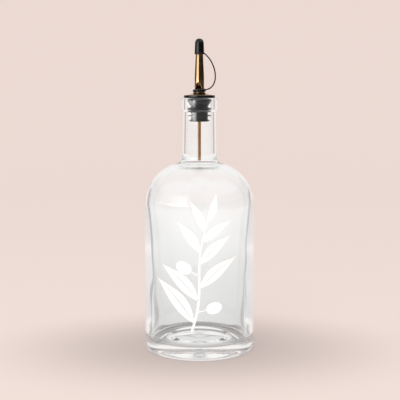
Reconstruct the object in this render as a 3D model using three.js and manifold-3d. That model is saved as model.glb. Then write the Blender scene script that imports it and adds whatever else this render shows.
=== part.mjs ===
// Clear glass oil bottle with a brass pourer: a finned rubber stopper in the neck, a domed washer,
// a tapered spout with an air tube, and a dust cap whose tether ends in a ring round the spout.
// Millimetres, +Z up. The origin is the centre of the base, on the surface the bottle stands on.
import * as THREE from "three";
import { mergeVertices } from "three/addons/utils/BufferGeometryUtils.js";
import Module from "manifold-3d";

// Driving dimensions of the glass
const BODY_RADIUS = 44;
const GLASS_HEIGHT = 202.5;
const WALL = 3;
const HEEL_RADIUS = 4.3;
const BEARING_INNER_RADIUS = 33;
const PUSH_UP = 3.2;
const FLOOR_HEIGHT = 10.5;
const FLOOR_FILLET = 8.5;
const FLOOR_CROWN = 1.2;
const SHOULDER_HEIGHT = 118;
const SHOULDER_RADIUS = 33.7;
const NECK_BASE_RADIUS = 13.7;
const NECK_TOP_RADIUS = 13.2;
const NECK_FILLET = 5;
const FINISH_RADIUS = 14.7;
const FINISH_HEIGHT = 10;
const FINISH_TOP_ROUND = 1.6;
const FINISH_FOOT_ROUND = 0.8;
const BORE_RADIUS = 10.2;
const BORE_MOUTH_ROUND = 1.2;

// Driving dimensions of the rubber stopper
const SEAT_GAP = 0.1;
const STOPPER_FLANGE_RADIUS = 12.45;
const STOPPER_FLANGE_THICKNESS = 1.7;
const STOPPER_LIP = 0.4;
const STOPPER_FLANGE_ROUND = 0.5;
const STOPPER_PLUG_RADIUS = 9.8;
const STOPPER_PLUG_DEPTH = 2.2;
const STOPPER_CORE_RADIUS = 6.8;
const STOPPER_CORE_TOP = 6.6;
const STOPPER_FINS = [
  { depth: 8.5, radius: 9.8, root: 2.6, tip: 0.7, droop: 0 },
  { depth: 13.9, radius: 9.5, root: 1.3, tip: 0.7, droop: 0.1 },
  { depth: 17.8, radius: 8.1, root: 1.5, tip: 0.7, droop: 0.2 },
];
const STOPPER_DEPTH = 18.7;

// Driving dimensions of the brass washer, spout and air tube
const FIT_GAP = 0.15;
const WASHER_RADIUS = 10.5;
const WASHER_RIM = 0.5;
const WASHER_CROWN = 2.2;
const WASHER_TOP_RADIUS = 4.9;
const SHANK_RADIUS = 4;
const SHANK_DEPTH = 17;
const SPOUT_FOOT_RADIUS = 4.5;
const SPOUT_FOOT_HEIGHT = 0.7;
const SPOUT_RADIUS = 3.75;
const SPOUT_TAPER_START = 12.3;
const SPOUT_TIP_RADIUS = 2.5;
const SPOUT_HEIGHT = 38.6;
const SPOUT_WALL = 0.7;
const AIR_TUBE_RADIUS = 1.3;
const AIR_TUBE_WALL = 0.4;
const AIR_TUBE_END = 153.3;
const VENT_HEIGHT = 5.2;
const VENT_TURN = THREE.MathUtils.degToRad(14);
const VENT_SLOPE = THREE.MathUtils.degToRad(28);
const VENT_DISH = { width: 2, depth: 0.9, length: 3 };
const VENT_SOLDER = { width: 2.7, depth: 1.7, length: 3.8 };

// Driving dimensions of the dust cap, its tether and its ring
const CAP_GAP = 0.2;
const CAP_BOTTOM = 236.7;
const CAP_TOP = 249.1;
const CAP_RIM_RADIUS = 3.85;
const CAP_RIM_HEIGHT = 1.2;
const CAP_SHOULDER_RADIUS = 3.5;
const CAP_ROOF = 3.2;
const RING_RADIUS = 5.5;
const RING_THICKNESS = 1.3;
const RING_RISE = 1.25;
const RING_TILT = THREE.MathUtils.degToRad(5);
const TETHER_RADIUS = 0.62;
const TETHER_LOW_PULL = { reach: 16.35, height: 210.2 };
const TETHER_HIGH_PULL = { reach: 14.3, height: 229.8 };

// Facets round each piece
const BOTTLE_FACETS = 56;
const STOPPER_FACETS = 32;
const BRASS_FACETS = 32;
const CAP_FACETS = 24;
const TUBE_SIDES = 10;
const TUBE_STEPS = 34;
const TETHER_SIDES = 8;
const TETHER_STEPS = 30;

const stopperSeat = GLASS_HEIGHT + SEAT_GAP;
const washerSeat = stopperSeat + STOPPER_FLANGE_THICKNESS + SEAT_GAP;
const spoutSeat = washerSeat + WASHER_CROWN + SEAT_GAP;
const spoutTop = spoutSeat + SPOUT_HEIGHT;
const taperStart = spoutSeat + SPOUT_TAPER_START;
const ringHeight = spoutSeat + SPOUT_FOOT_HEIGHT + RING_RISE;

const wasm = await Module();
wasm.setup();

const point = (radius, height) => new THREE.Vector2(radius, height);

// Points on an arc in the profile plane, both ends included. Angles are in degrees from +radius.
function arc(centreRadius, centreHeight, radius, from, to, steps) {
  return Array.from({ length: steps + 1 }, (_, i) => {
    const angle = THREE.MathUtils.degToRad(from + ((to - from) * i) / steps);
    return point(
      centreRadius + radius * Math.cos(angle),
      centreHeight + radius * Math.sin(angle),
    );
  });
}

// A profile turned about the Z axis. The profile is listed from the bottom, up the outside.
function turned(profile, facets) {
  return new THREE.LatheGeometry(profile, facets).rotateX(Math.PI / 2);
}

// A round bar of the given radius along a curve
function barAlong(curve, radius, sides, steps) {
  const section = new THREE.Shape(
    Array.from({ length: sides }, (_, i) => {
      const angle = (2 * Math.PI * i) / sides;
      return point(radius * Math.cos(angle), radius * Math.sin(angle));
    }),
  );
  return new THREE.ExtrudeGeometry(section, {
    steps,
    extrudePath: curve,
    bevelEnabled: false,
  });
}

// A closed geometry as a solid that can be joined and cut
function solid(geometry) {
  const bare = geometry.index ? geometry.toNonIndexed() : geometry.clone();
  bare.deleteAttribute("normal");
  bare.deleteAttribute("uv");
  const merged = mergeVertices(bare, 1e-4);
  return new wasm.Manifold(
    new wasm.Mesh({
      numProp: 3,
      vertProperties: merged.attributes.position.array,
      triVerts: new Uint32Array(merged.index.array),
    }),
  );
}

// A joined or cut solid as a three.js geometry
function geometryOf(cut) {
  const mesh = cut.getMesh();
  const geometry = new THREE.BufferGeometry();
  geometry.setAttribute(
    "position",
    new THREE.BufferAttribute(mesh.vertProperties, 3),
  );
  geometry.setIndex(new THREE.BufferAttribute(mesh.triVerts, 1));
  geometry.computeVertexNormals();
  return geometry;
}

// The bottle: a thick pushed-up base, straight walls, a round shoulder, and a neck with a plain band
function bottleGeometry() {
  const axisRadius = BODY_RADIUS - SHOULDER_RADIUS;
  const filletRadius = NECK_BASE_RADIUS + NECK_FILLET;
  const reach = SHOULDER_RADIUS + NECK_FILLET;
  const filletHeight =
    SHOULDER_HEIGHT + Math.sqrt(reach ** 2 - (filletRadius - axisRadius) ** 2);
  const meeting = THREE.MathUtils.radToDeg(
    Math.atan2(filletHeight - SHOULDER_HEIGHT, filletRadius - axisRadius),
  );
  const pushUpRadius =
    (BEARING_INNER_RADIUS ** 2 + PUSH_UP ** 2) / (2 * PUSH_UP);
  const pushUpSweep = THREE.MathUtils.radToDeg(
    Math.asin(BEARING_INNER_RADIUS / pushUpRadius),
  );
  const finishFoot = GLASS_HEIGHT - FINISH_HEIGHT;
  const innerRadius = BODY_RADIUS - WALL;
  const boreFoot = NECK_BASE_RADIUS - WALL;

  const outside = [
    ...arc(0, PUSH_UP - pushUpRadius, pushUpRadius, 90, 90 - pushUpSweep, 5),
    ...arc(BODY_RADIUS - HEEL_RADIUS, HEEL_RADIUS, HEEL_RADIUS, -90, 0, 5),
    ...arc(axisRadius, SHOULDER_HEIGHT, SHOULDER_RADIUS, 0, meeting, 10),
    ...arc(filletRadius, filletHeight, NECK_FILLET, meeting + 180, 180, 4).slice(1),
    point(NECK_TOP_RADIUS, finishFoot),
    ...arc(
      FINISH_RADIUS - FINISH_FOOT_ROUND,
      finishFoot + FINISH_FOOT_ROUND,
      FINISH_FOOT_ROUND,
      -90,
      0,
      2,
    ),
    ...arc(
      FINISH_RADIUS - FINISH_TOP_ROUND,
      GLASS_HEIGHT - FINISH_TOP_ROUND,
      FINISH_TOP_ROUND,
      0,
      90,
      4,
    ),
  ];
  const inside = [
    ...arc(
      BORE_RADIUS + BORE_MOUTH_ROUND,
      GLASS_HEIGHT - BORE_MOUTH_ROUND,
      BORE_MOUTH_ROUND,
      90,
      180,
      3,
    ),
    point(BORE_RADIUS, finishFoot),
    point(boreFoot, filletHeight),
    ...arc(filletRadius, filletHeight, NECK_FILLET + WALL, 180, meeting + 180, 4).slice(1),
    ...arc(axisRadius, SHOULDER_HEIGHT, SHOULDER_RADIUS - WALL, meeting, 0, 10).slice(1),
    ...arc(
      innerRadius - FLOOR_FILLET,
      FLOOR_HEIGHT + FLOOR_FILLET,
      FLOOR_FILLET,
      0,
      -90,
      6,
    ),
    point(0, FLOOR_HEIGHT + FLOOR_CROWN),
  ];
  return turned([...outside, ...inside], BOTTLE_FACETS);
}

// The stopper: a flange on the glass rim, a plug that fills the mouth, and fins down a round core.
// The flange's raised lip stands round the washer.
function stopperGeometry() {
  const bore = SHANK_RADIUS + FIT_GAP;
  const foot = stopperSeat - STOPPER_DEPTH;
  const top = stopperSeat + STOPPER_FLANGE_THICKNESS;
  const lipRadius = WASHER_RADIUS + FIT_GAP;
  const fins = STOPPER_FINS.toReversed().flatMap((fin) => {
    const height = stopperSeat - fin.depth;
    const tip = height - fin.droop;
    return [
      point(STOPPER_CORE_RADIUS, height - fin.root / 2),
      point(fin.radius - fin.tip / 2, tip - fin.tip / 2),
      point(fin.radius, tip),
      point(fin.radius - fin.tip / 2, tip + fin.tip / 2),
      point(STOPPER_CORE_RADIUS, height + fin.root / 2),
    ];
  });
  const rimCentre = STOPPER_FLANGE_RADIUS - STOPPER_FLANGE_ROUND;
  const lipTop = top + STOPPER_LIP;
  const profile = [
    point(bore, foot),
    point(STOPPER_CORE_RADIUS, foot),
    ...fins,
    point(STOPPER_CORE_RADIUS, stopperSeat - STOPPER_CORE_TOP),
    point(STOPPER_PLUG_RADIUS, stopperSeat - STOPPER_PLUG_DEPTH),
    point(STOPPER_PLUG_RADIUS, stopperSeat),
    ...arc(rimCentre, stopperSeat + STOPPER_FLANGE_ROUND, STOPPER_FLANGE_ROUND, -90, 0, 2),
    ...arc(rimCentre, lipTop - STOPPER_FLANGE_ROUND, STOPPER_FLANGE_ROUND, 0, 90, 2),
    point(lipRadius + STOPPER_LIP, lipTop),
    point(lipRadius, top),
    point(bore, top),
    point(bore, foot),
  ];
  return turned(profile, STOPPER_FACETS);
}

// The washer: a domed brass disc between the stopper's flange and the spout's foot
function washerGeometry() {
  const bore = SHANK_RADIUS + FIT_GAP;
  const slope = Array.from({ length: 6 }, (_, i) => {
    const share = i / 5;
    const radius = WASHER_RADIUS + (WASHER_TOP_RADIUS - WASHER_RADIUS) * share;
    const rise = WASHER_CROWN - WASHER_RIM;
    return point(radius, washerSeat + WASHER_RIM + rise * share ** 1.5);
  });
  const profile = [
    point(bore, washerSeat),
    point(WASHER_RADIUS, washerSeat),
    ...slope,
    point(bore, washerSeat + WASHER_CROWN),
    point(bore, washerSeat),
  ];
  return turned(profile, BRASS_FACETS);
}

// Outer radius of the spout above its foot
function spoutRadius(height) {
  const share = Math.max(0, (height - taperStart) / (spoutTop - taperStart));
  return SPOUT_RADIUS + (SPOUT_TIP_RADIUS - SPOUT_RADIUS) * share;
}

// Centre line of the air tube: out of the spout's wall at the vent, then down the axis
function airTubeCurve() {
  const ventHeight = spoutSeat + VENT_HEIGHT;
  const out = new THREE.Vector3(-Math.sin(VENT_TURN), -Math.cos(VENT_TURN), 0);
  const slant = out
    .clone()
    .multiplyScalar(Math.sin(VENT_SLOPE))
    .setZ(Math.cos(VENT_SLOPE));
  const atWall = out
    .clone()
    .multiplyScalar(SPOUT_RADIUS)
    .setZ(ventHeight);
  const outside = atWall.clone().addScaledVector(slant, 4);
  const bendFoot = new THREE.Vector3(0, 0, ventHeight - 16);
  const bend = new THREE.CubicBezierCurve3(
    atWall,
    atWall.clone().addScaledVector(slant, -6),
    bendFoot.clone().setZ(bendFoot.z + 6),
    bendFoot,
  );
  const path = new THREE.CurvePath();
  path.add(new THREE.LineCurve3(outside, atWall));
  path.add(bend);
  path.add(new THREE.LineCurve3(bendFoot, new THREE.Vector3(0, 0, AIR_TUBE_END)));
  return path;
}

// The spout's outside as one full solid, from the foot of its shank to its tip
function spoutOutside() {
  const shankFoot = washerSeat - SHANK_DEPTH;
  const profile = [
    point(0, shankFoot),
    point(SHANK_RADIUS, shankFoot),
    point(SHANK_RADIUS, spoutSeat),
    point(SPOUT_FOOT_RADIUS, spoutSeat),
    point(SPOUT_FOOT_RADIUS, spoutSeat + SPOUT_FOOT_HEIGHT / 2),
    point(SPOUT_RADIUS, spoutSeat + SPOUT_FOOT_HEIGHT),
    point(SPOUT_RADIUS, taperStart),
    ...arc(SPOUT_TIP_RADIUS - 0.3, spoutTop - 0.3, 0.3, 0, 90, 2),
    point(0, spoutTop),
  ];
  return solid(turned(profile, BRASS_FACETS));
}

// The pouring channel through the spout and its shank, longer than both
function pouringChannel() {
  const past = 5;
  const profile = [
    point(0, washerSeat - SHANK_DEPTH - past),
    point(SPOUT_RADIUS - SPOUT_WALL, washerSeat - SHANK_DEPTH - past),
    point(SPOUT_RADIUS - SPOUT_WALL, taperStart),
    point(SPOUT_TIP_RADIUS - SPOUT_WALL, spoutTop + past),
    point(0, spoutTop + past),
  ];
  return solid(turned(profile, BRASS_FACETS));
}

// A long round blob centred on the vent, at the spout's wall
function ventBlob(size) {
  const blob = new THREE.SphereGeometry(1, 20, 12);
  blob.scale(size.width, size.depth, size.length);
  blob.translate(0, -SPOUT_RADIUS, spoutSeat + VENT_HEIGHT);
  blob.rotateZ(-VENT_TURN);
  return solid(blob);
}

// The air tube's bore and the hole that takes the tube share the tube's centre line.
function airTubeBar(radius) {
  return solid(barAlong(airTubeCurve(), radius, TUBE_SIDES, TUBE_STEPS));
}

// The spout: hollow, with solder inside the wall round the air tube's end and a dished vent outside
function spoutGeometry() {
  const solder = ventBlob(VENT_SOLDER).intersect(spoutOutside());
  return geometryOf(
    spoutOutside()
      .subtract(pouringChannel())
      .add(solder)
      .subtract(airTubeBar(AIR_TUBE_RADIUS + FIT_GAP))
      .subtract(ventBlob(VENT_DISH)),
  );
}

// The tube's upper end is cut off flush with the dished vent.
function airTubeGeometry() {
  const below = washerSeat - SHANK_DEPTH;
  const hanging = new THREE.CylinderGeometry(
    SHANK_RADIUS,
    SHANK_RADIUS,
    below - AIR_TUBE_END + 20,
    BRASS_FACETS,
  )
    .rotateX(Math.PI / 2)
    .translate(0, 0, (below + AIR_TUBE_END - 10) / 2 + 5);
  return geometryOf(
    airTubeBar(AIR_TUBE_RADIUS)
      .subtract(airTubeBar(AIR_TUBE_RADIUS - AIR_TUBE_WALL))
      .intersect(spoutOutside().add(solid(hanging)))
      .subtract(ventBlob(VENT_DISH)),
  );
}

// The cap over the spout's tip, with a rounded end, before its socket is cut
function capSolid() {
  const profile = [
    point(0, CAP_BOTTOM),
    point(CAP_RIM_RADIUS, CAP_BOTTOM),
    point(CAP_RIM_RADIUS, CAP_BOTTOM + CAP_RIM_HEIGHT),
    ...arc(0, CAP_TOP - CAP_SHOULDER_RADIUS, CAP_SHOULDER_RADIUS, 0, 90, 7),
  ];
  return solid(turned(profile, CAP_FACETS));
}

// The space inside the cap, which follows the taper of the spout
function capSocket() {
  const below = CAP_BOTTOM - 2;
  const socketTop = CAP_TOP - CAP_ROOF;
  const profile = [
    point(0, below),
    point(spoutRadius(below) + CAP_GAP, below),
    point(SPOUT_TIP_RADIUS + CAP_GAP, socketTop),
    point(0, socketTop),
  ];
  return solid(turned(profile, CAP_FACETS));
}

// The flat ring round the foot of the spout, tipped up where the tether pulls on it
function ringSolid() {
  const bore = SPOUT_RADIUS + CAP_GAP;
  const half = RING_THICKNESS / 2;
  const profile = [
    point(bore, -half),
    ...arc(RING_RADIUS - half, 0, half, -90, 90, 6),
    point(bore, half),
    point(bore, -half),
  ];
  const ring = turned(profile, CAP_FACETS);
  return solid(ring.rotateY(-RING_TILT).translate(0, 0, ringHeight));
}

// The tether: out of the ring, up in a loose bow and into the cap's rim
function tetherSolid() {
  const start = RING_RADIUS - RING_THICKNESS / 2;
  const end = CAP_RIM_RADIUS - TETHER_RADIUS / 2;
  const bow = new THREE.CubicBezierCurve3(
    new THREE.Vector3(start, 0, ringHeight + start * Math.tan(RING_TILT)),
    new THREE.Vector3(TETHER_LOW_PULL.reach, 0, TETHER_LOW_PULL.height),
    new THREE.Vector3(TETHER_HIGH_PULL.reach, 0, TETHER_HIGH_PULL.height),
    new THREE.Vector3(end, 0, CAP_BOTTOM + CAP_RIM_HEIGHT - TETHER_RADIUS / 2),
  );
  return solid(barAlong(bow, TETHER_RADIUS, TETHER_SIDES, TETHER_STEPS));
}

function dustCapGeometry() {
  return geometryOf(
    capSolid().add(ringSolid()).add(tetherSolid()).subtract(capSocket()),
  );
}

const glass = new THREE.MeshStandardMaterial({
  color: 0xf4f6f5,
  roughness: 0.03,
  metalness: 0,
  transparent: true,
  opacity: 0.3,
});
const blackRubber = new THREE.MeshStandardMaterial({
  color: 0x18171a,
  roughness: 0.42,
  metalness: 0,
});
const brass = new THREE.MeshStandardMaterial({
  color: 0xb5833e,
  roughness: 0.2,
  metalness: 1,
});

function piece(name, geometry, material) {
  const mesh = new THREE.Mesh(geometry, material);
  mesh.name = name;
  return mesh;
}

const pourer = new THREE.Group();
pourer.add(
  piece("stopper", stopperGeometry(), blackRubber),
  piece("washer", washerGeometry(), brass),
  piece("spout", spoutGeometry(), brass),
  piece("air_tube", airTubeGeometry(), brass),
  piece("dust_cap", dustCapGeometry(), blackRubber),
);

const oilBottle = new THREE.Group();
oilBottle.add(piece("bottle", bottleGeometry(), glass), pourer);

export default oilBottle;
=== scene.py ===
"""Looks of a clear glass oil bottle with a brass pourer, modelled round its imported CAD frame.

The file is laid out as an add-on: sizes and colours are properties, every piece has an operator, and
a panel lists them. Most pieces are profiles that are drawn point by point in edit mode and spun, as
the real ones are turned or moulded, so they keep the places of their CAD solids and gain round edges
and a finish.
"""

import math

import bmesh
import bpy
from bpy.props import FloatProperty, FloatVectorProperty, PointerProperty
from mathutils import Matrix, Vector


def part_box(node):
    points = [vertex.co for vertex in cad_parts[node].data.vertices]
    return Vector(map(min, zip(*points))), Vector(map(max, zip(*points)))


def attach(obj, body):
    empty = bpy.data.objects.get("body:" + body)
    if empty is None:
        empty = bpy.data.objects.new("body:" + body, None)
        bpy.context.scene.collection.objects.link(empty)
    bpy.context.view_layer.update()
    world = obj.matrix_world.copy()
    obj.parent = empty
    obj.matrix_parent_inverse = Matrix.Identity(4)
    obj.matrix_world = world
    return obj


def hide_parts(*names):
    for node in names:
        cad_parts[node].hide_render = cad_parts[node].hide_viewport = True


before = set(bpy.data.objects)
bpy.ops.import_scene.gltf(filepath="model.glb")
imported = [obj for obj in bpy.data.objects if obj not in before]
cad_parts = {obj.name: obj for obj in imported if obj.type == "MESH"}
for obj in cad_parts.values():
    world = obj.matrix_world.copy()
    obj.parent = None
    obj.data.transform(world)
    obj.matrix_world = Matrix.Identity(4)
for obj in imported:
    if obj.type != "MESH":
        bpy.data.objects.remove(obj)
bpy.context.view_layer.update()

bl_info = {
    "name": "Glass Oil Bottle",
    "version": (1, 0, 0),
    "blender": (4, 5, 0),
    "location": "View3D > Sidebar > Oil Bottle",
    "description": "Models a clear glass oil bottle with a brass pourer, and a studio to show it in",
    "category": "Add Mesh",
}

MM = 0.001
MERGE = 1e-6
BODY = "root"
SMOOTH_ANGLE = math.radians(38)
PIECE_GAP = 0.1 * MM

GLASS_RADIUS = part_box("bottle")[1].x
GLASS_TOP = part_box("bottle")[1].z
STOPPER_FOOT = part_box("stopper")[0].z
FLANGE_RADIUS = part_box("stopper")[1].x
FLANGE_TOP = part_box("stopper")[1].z
WASHER_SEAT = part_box("washer")[0].z
WASHER_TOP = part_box("washer")[1].z
WASHER_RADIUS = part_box("washer")[1].x
SHANK_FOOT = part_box("spout")[0].z
SPOUT_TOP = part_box("spout")[1].z
FOOT_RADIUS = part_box("spout")[1].x
TUBE_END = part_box("air_tube")[0].z
CAP_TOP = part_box("dust_cap")[1].z
RING_RADIUS = -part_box("dust_cap")[0].x
SPOUT_SEAT = WASHER_TOP + PIECE_GAP


def length(name, description, default):
    """A size in metres that a user may change."""
    return FloatProperty(
        name=name,
        description=description,
        default=default,
        min=0.0,
        precision=5,
        unit="LENGTH",
        subtype="DISTANCE",
    )


def colour(name, description, default):
    """A colour in linear red, green and blue."""
    return FloatVectorProperty(
        name=name,
        description=description,
        default=default,
        min=0.0,
        max=1.0,
        size=3,
        subtype="COLOR",
    )


def angle(name, description, degrees):
    """An angle, stated in degrees and kept in radians."""
    return FloatProperty(
        name=name,
        description=description,
        default=math.radians(degrees),
        unit="ROTATION",
        subtype="ANGLE",
    )


class GlassSizes(bpy.types.PropertyGroup):
    """Sizes and colour of the glass"""

    ink_room: length("Ink room", "How far the glass stays inside its solid, for the ink", 0.08 * MM)
    wall: length("Wall", "Thickness of the wall", 3 * MM)
    heel_radius: length("Heel radius", "Radius of the edge under the wall", 4.3 * MM)
    bearing_radius: length("Bearing radius", "Inner radius of the ring that it stands on", 33 * MM)
    push_up: length("Push-up", "Rise of the middle of the base", 3.2 * MM)
    floor_height: length("Floor height", "Height of the inside floor at its edge", 10.5 * MM)
    floor_fillet: length("Floor fillet", "Radius between the floor and the wall", 4 * MM)
    floor_crown: length("Floor crown", "Rise of the floor's middle", 1.2 * MM)
    crown_radius: length("Crown radius", "Radius of the floor's raised middle", 25 * MM)
    shoulder_height: length("Shoulder height", "Where the wall starts to turn in", 118 * MM)
    shoulder_radius: length("Shoulder radius", "Radius of the shoulder", 33.7 * MM)
    neck_base_radius: length("Neck base", "Radius of the neck above the shoulder", 13.7 * MM)
    neck_top_radius: length("Neck top", "Radius of the neck under the band", 13.2 * MM)
    neck_fillet: length("Neck fillet", "Radius between the shoulder and the neck", 5 * MM)
    root_fillet: length("Root fillet", "Radius inside, between the neck and the shoulder", 13 * MM)
    band_radius: length("Band radius", "Radius of the band round the mouth", 14.7 * MM)
    band_height: length("Band height", "Height of the band round the mouth", 10 * MM)
    band_top_round: length("Band top", "Rounding of the band's upper edge", 1.6 * MM)
    band_foot_round: length("Band foot", "Rounding of the band's lower edge", 0.9 * MM)
    bore_radius: length("Bore", "Radius of the mouth", 10.2 * MM)
    mouth_round: length("Mouth", "Rounding of the mouth's inner edge", 1.2 * MM)
    thick_sides: length("Thick sides", "How much thicker the wall is at its two sides", 1.8 * MM)
    ripple: length("Ripple", "Unevenness of the inside wall", 1.0 * MM)
    ripple_size: length("Ripple size", "Width of the wall's uneven places", 42 * MM)
    tint: colour("Tint", "Colour of the glass", (0.985, 0.99, 0.988))


class StopperSizes(bpy.types.PropertyGroup):
    """Sizes of the rubber stopper, and the colours of all rubber"""

    flange_thickness: length("Flange", "Thickness of the flange", 1.7 * MM)
    flange_round: length("Flange round", "Rounding of the flange's rim", 0.5 * MM)
    lip_gap: length("Lip gap", "Room between the lip and the washer", 0.15 * MM)
    plug_radius: length("Plug radius", "Radius of the plug in the mouth", 9.8 * MM)
    plug_depth: length("Plug depth", "Depth of the plug's straight part", 2.2 * MM)
    core_radius: length("Core radius", "Radius of the core between the fins", 6.8 * MM)
    core_top: length("Core top", "Depth at which the plug has narrowed to the core", 6.6 * MM)
    bore_radius: length("Bore", "Radius of the hole for the shank", 4.15 * MM)
    edge_round: length("Edge", "Rounding of the moulded edges", 0.22 * MM)
    rubber: colour("Rubber", "Colour of the rubber", (0.0032, 0.0028, 0.0035))
    bloom: colour("Bloom", "Colour of the rubber's dull places", (0.0075, 0.0068, 0.0078))


class BrassSizes(bpy.types.PropertyGroup):
    """Sizes and colours of the brass washer, spout and air tube"""

    washer_rim: length("Washer rim", "Thickness of the washer at its edge", 0.5 * MM)
    washer_top_radius: length("Washer top", "Radius of the washer's flat top", 4.9 * MM)
    shank_radius: length("Shank radius", "Radius of the shank in the stopper", 4 * MM)
    foot_height: length("Foot height", "Height of the spout's foot", 0.7 * MM)
    spout_radius: length("Spout radius", "Radius of the spout's lower part", 3.75 * MM)
    taper_start: length("Taper start", "Height above the foot where the taper starts", 12.3 * MM)
    tip_radius: length("Tip radius", "Radius of the spout's tip", 2.5 * MM)
    wall: length("Wall", "Thickness of the spout's wall", 0.7 * MM)
    vent_apex: length("Vent apex", "Height of the vent's point above the foot", 8.2 * MM)
    vent_height: length("Vent height", "Height of the pressed-in vent", 5.2 * MM)
    vent_depth: length("Vent depth", "Depth of the vent at its lower end", 2.6 * MM)
    vent_lip: length("Vent lip", "Height of the raised edge round the vent", 0.2 * MM)
    vent_spread: angle("Vent spread", "Half of the vent's width, round the spout", 44)
    vent_turn: angle("Vent turn", "How far left of the front the vent is", 14)
    tube_radius: length("Tube radius", "Radius of the air tube", 1.3 * MM)
    tube_wall: length("Tube wall", "Thickness of the air tube's wall", 0.4 * MM)
    tube_slant: angle("Tube slant", "Slant of the air tube's end in the vent", 34)
    brass: colour("Brass", "Colour of the polished brass", (0.5, 0.335, 0.17))
    tarnish: colour("Tarnish", "Colour of the brass's duller places", (0.3, 0.155, 0.066))
    # Painted shade: the brass is painted this dark deep in the vent, where shade falls.
    painted_vent_shade: colour("Painted vent shade", "Colour of the brass deep in the vent", (0.045, 0.018, 0.008))


class CapSizes(bpy.types.PropertyGroup):
    """Sizes of the dust cap, its tether and its ring"""

    bottom: length("Cap bottom", "Height of the cap's rim", 236.7 * MM)
    rim_radius: length("Rim radius", "Radius of the cap's rim", 3.85 * MM)
    rim_height: length("Rim height", "Height of the cap's rim", 1.2 * MM)
    shoulder_radius: length("Shoulder", "Radius of the cap below its round end", 3.5 * MM)
    end_height: length("End height", "Height of the cap's round end", 4.3 * MM)
    roof: length("Roof", "Thickness of the cap's end", 3.2 * MM)
    gap: length("Gap", "Room between the cap and the spout", 0.2 * MM)
    ring_thickness: length("Ring", "Thickness of the ring", 1.3 * MM)
    sleeve_wall: length("Sleeve wall", "Thickness of the ring's inner sleeve", 0.75 * MM)
    skirt_wall: length("Skirt wall", "Thickness of the skirt under the ring", 0.35 * MM)
    skirt_drop: length("Skirt drop", "How far the skirt reaches below the ring", 0.93 * MM)
    sleeve_rise: length("Sleeve rise", "How far the sleeve reaches above the ring", 0.3 * MM)
    ring_height: length("Ring height", "Height of the ring's middle", 208.65 * MM)
    ring_tilt: angle("Ring tilt", "How far the tether lifts the ring's side", 5)
    tether_radius: length("Tether", "Radius of the tether", 0.52 * MM)
    low_pull: FloatVectorProperty(
        name="Low pull",
        description="Where the tether heads as it leaves the ring",
        default=(16.35 * MM, 0, 210.2 * MM),
        unit="LENGTH",
        subtype="XYZ",
    )
    high_pull: FloatVectorProperty(
        name="High pull",
        description="Where the tether comes from as it meets the cap",
        default=(14.3 * MM, 0, 229.8 * MM),
        unit="LENGTH",
        subtype="XYZ",
    )


class PrintSizes(bpy.types.PropertyGroup):
    """Sizes and colour of the sprig that is printed on the glass"""

    foot: length("Foot", "Height of the stem's lower end", 22 * MM)
    height: length("Height", "Height of the stem", 88 * MM)
    lean: length("Lean", "How far the stem leans over its height", 13 * MM)
    bow: length("Bow", "How far the stem swings to each side", 2.2 * MM)
    stem_width: length("Stem", "Width of the stem at its foot", 2.0 * MM)
    leaf_length: length("Leaf length", "Length of the longest leaf", 45 * MM)
    leaf_width: length("Leaf width", "Width of the longest leaf", 11.5 * MM)
    fruit_length: length("Fruit length", "Length of a fruit", 12.5 * MM)
    fruit_width: length("Fruit width", "Width of a fruit", 9.2 * MM)
    thickness: length("Thickness", "Thickness of the ink", 0.05 * MM)
    clearance: length("Clearance", "How far the ink's back stands off the glass", 0.012 * MM)
    ink: colour("Ink", "Colour of the ink", (0.94, 0.955, 0.96))


class StageSizes(bpy.types.PropertyGroup):
    """The studio: sweep, lights and camera"""

    sweep_colour: colour("Sweep colour", "Colour of the floor and backdrop", (0.82, 0.7, 0.652))
    sweep_radius: length("Sweep radius", "Radius of the round backdrop", 1.9)
    tent_radius: length("Tent radius", "Radius of the light tent", 1.25)
    camera_distance: length("Camera distance", "From the bottle's axis, along the floor", 724 * MM)
    camera_height: length("Camera height", "Above the floor", 204.9 * MM)
    camera_side: length("Camera side", "Right of the bottle's axis", 0.48 * MM)
    camera_pitch: angle("Camera pitch", "How far the camera looks down", 6.6)
    camera_lens: FloatProperty(name="Lens", description="Focal length", default=81.7, unit="CAMERA")


class OilBottleSettings(bpy.types.PropertyGroup):
    """Everything that a user may change"""

    glass: PointerProperty(type=GlassSizes)
    stopper: PointerProperty(type=StopperSizes)
    brass: PointerProperty(type=BrassSizes)
    cap: PointerProperty(type=CapSizes)
    sprig: PointerProperty(type=PrintSizes)
    stage: PointerProperty(type=StageSizes)


def clamped(share):
    """A share kept between none and all."""
    return min(1, max(0, share))


def arc(centre_radius, centre_height, radius, start, end, steps):
    """Points of an arc in the profile plane, both ends included; angles in degrees from +X."""
    points = []
    for step in range(steps + 1):
        turn = math.radians(start + (end - start) * step / steps)
        points.append(at(centre_radius + radius * math.cos(turn), centre_height + radius * math.sin(turn)))
    return points


def at(radius, height):
    """A point of a profile."""
    return Vector((radius, 0, height))


def touching_fillet(axis, height, radius, fillet_axis, fillet_radius):
    """Height of a fillet's middle beside an arc that it touches, and where they touch, in degrees."""
    reach = radius + fillet_radius
    rise = math.sqrt(reach**2 - (fillet_axis - axis) ** 2)
    return height + rise, math.degrees(math.atan2(rise, fillet_axis - axis))


def between(start, end, rows):
    """Points in even rows between two points of a profile, without the two."""
    return [start.lerp(end, row / rows) for row in range(1, rows)]


def supported(profile, near, longest):
    """A profile with rows near the ends of its long stretches, so that smooth shading stays true there."""
    points = [profile[0]]
    for here, there in zip(profile, profile[1:]):
        span = (there - here).length
        if span > 4 * near:
            start = here.lerp(there, near / span)
            end = there.lerp(here, near / span)
            count = math.ceil((span - 2 * near) / longest)
            points += [start.lerp(end, step / count) for step in range(count + 1)]
        points.append(there)
    return points


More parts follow.
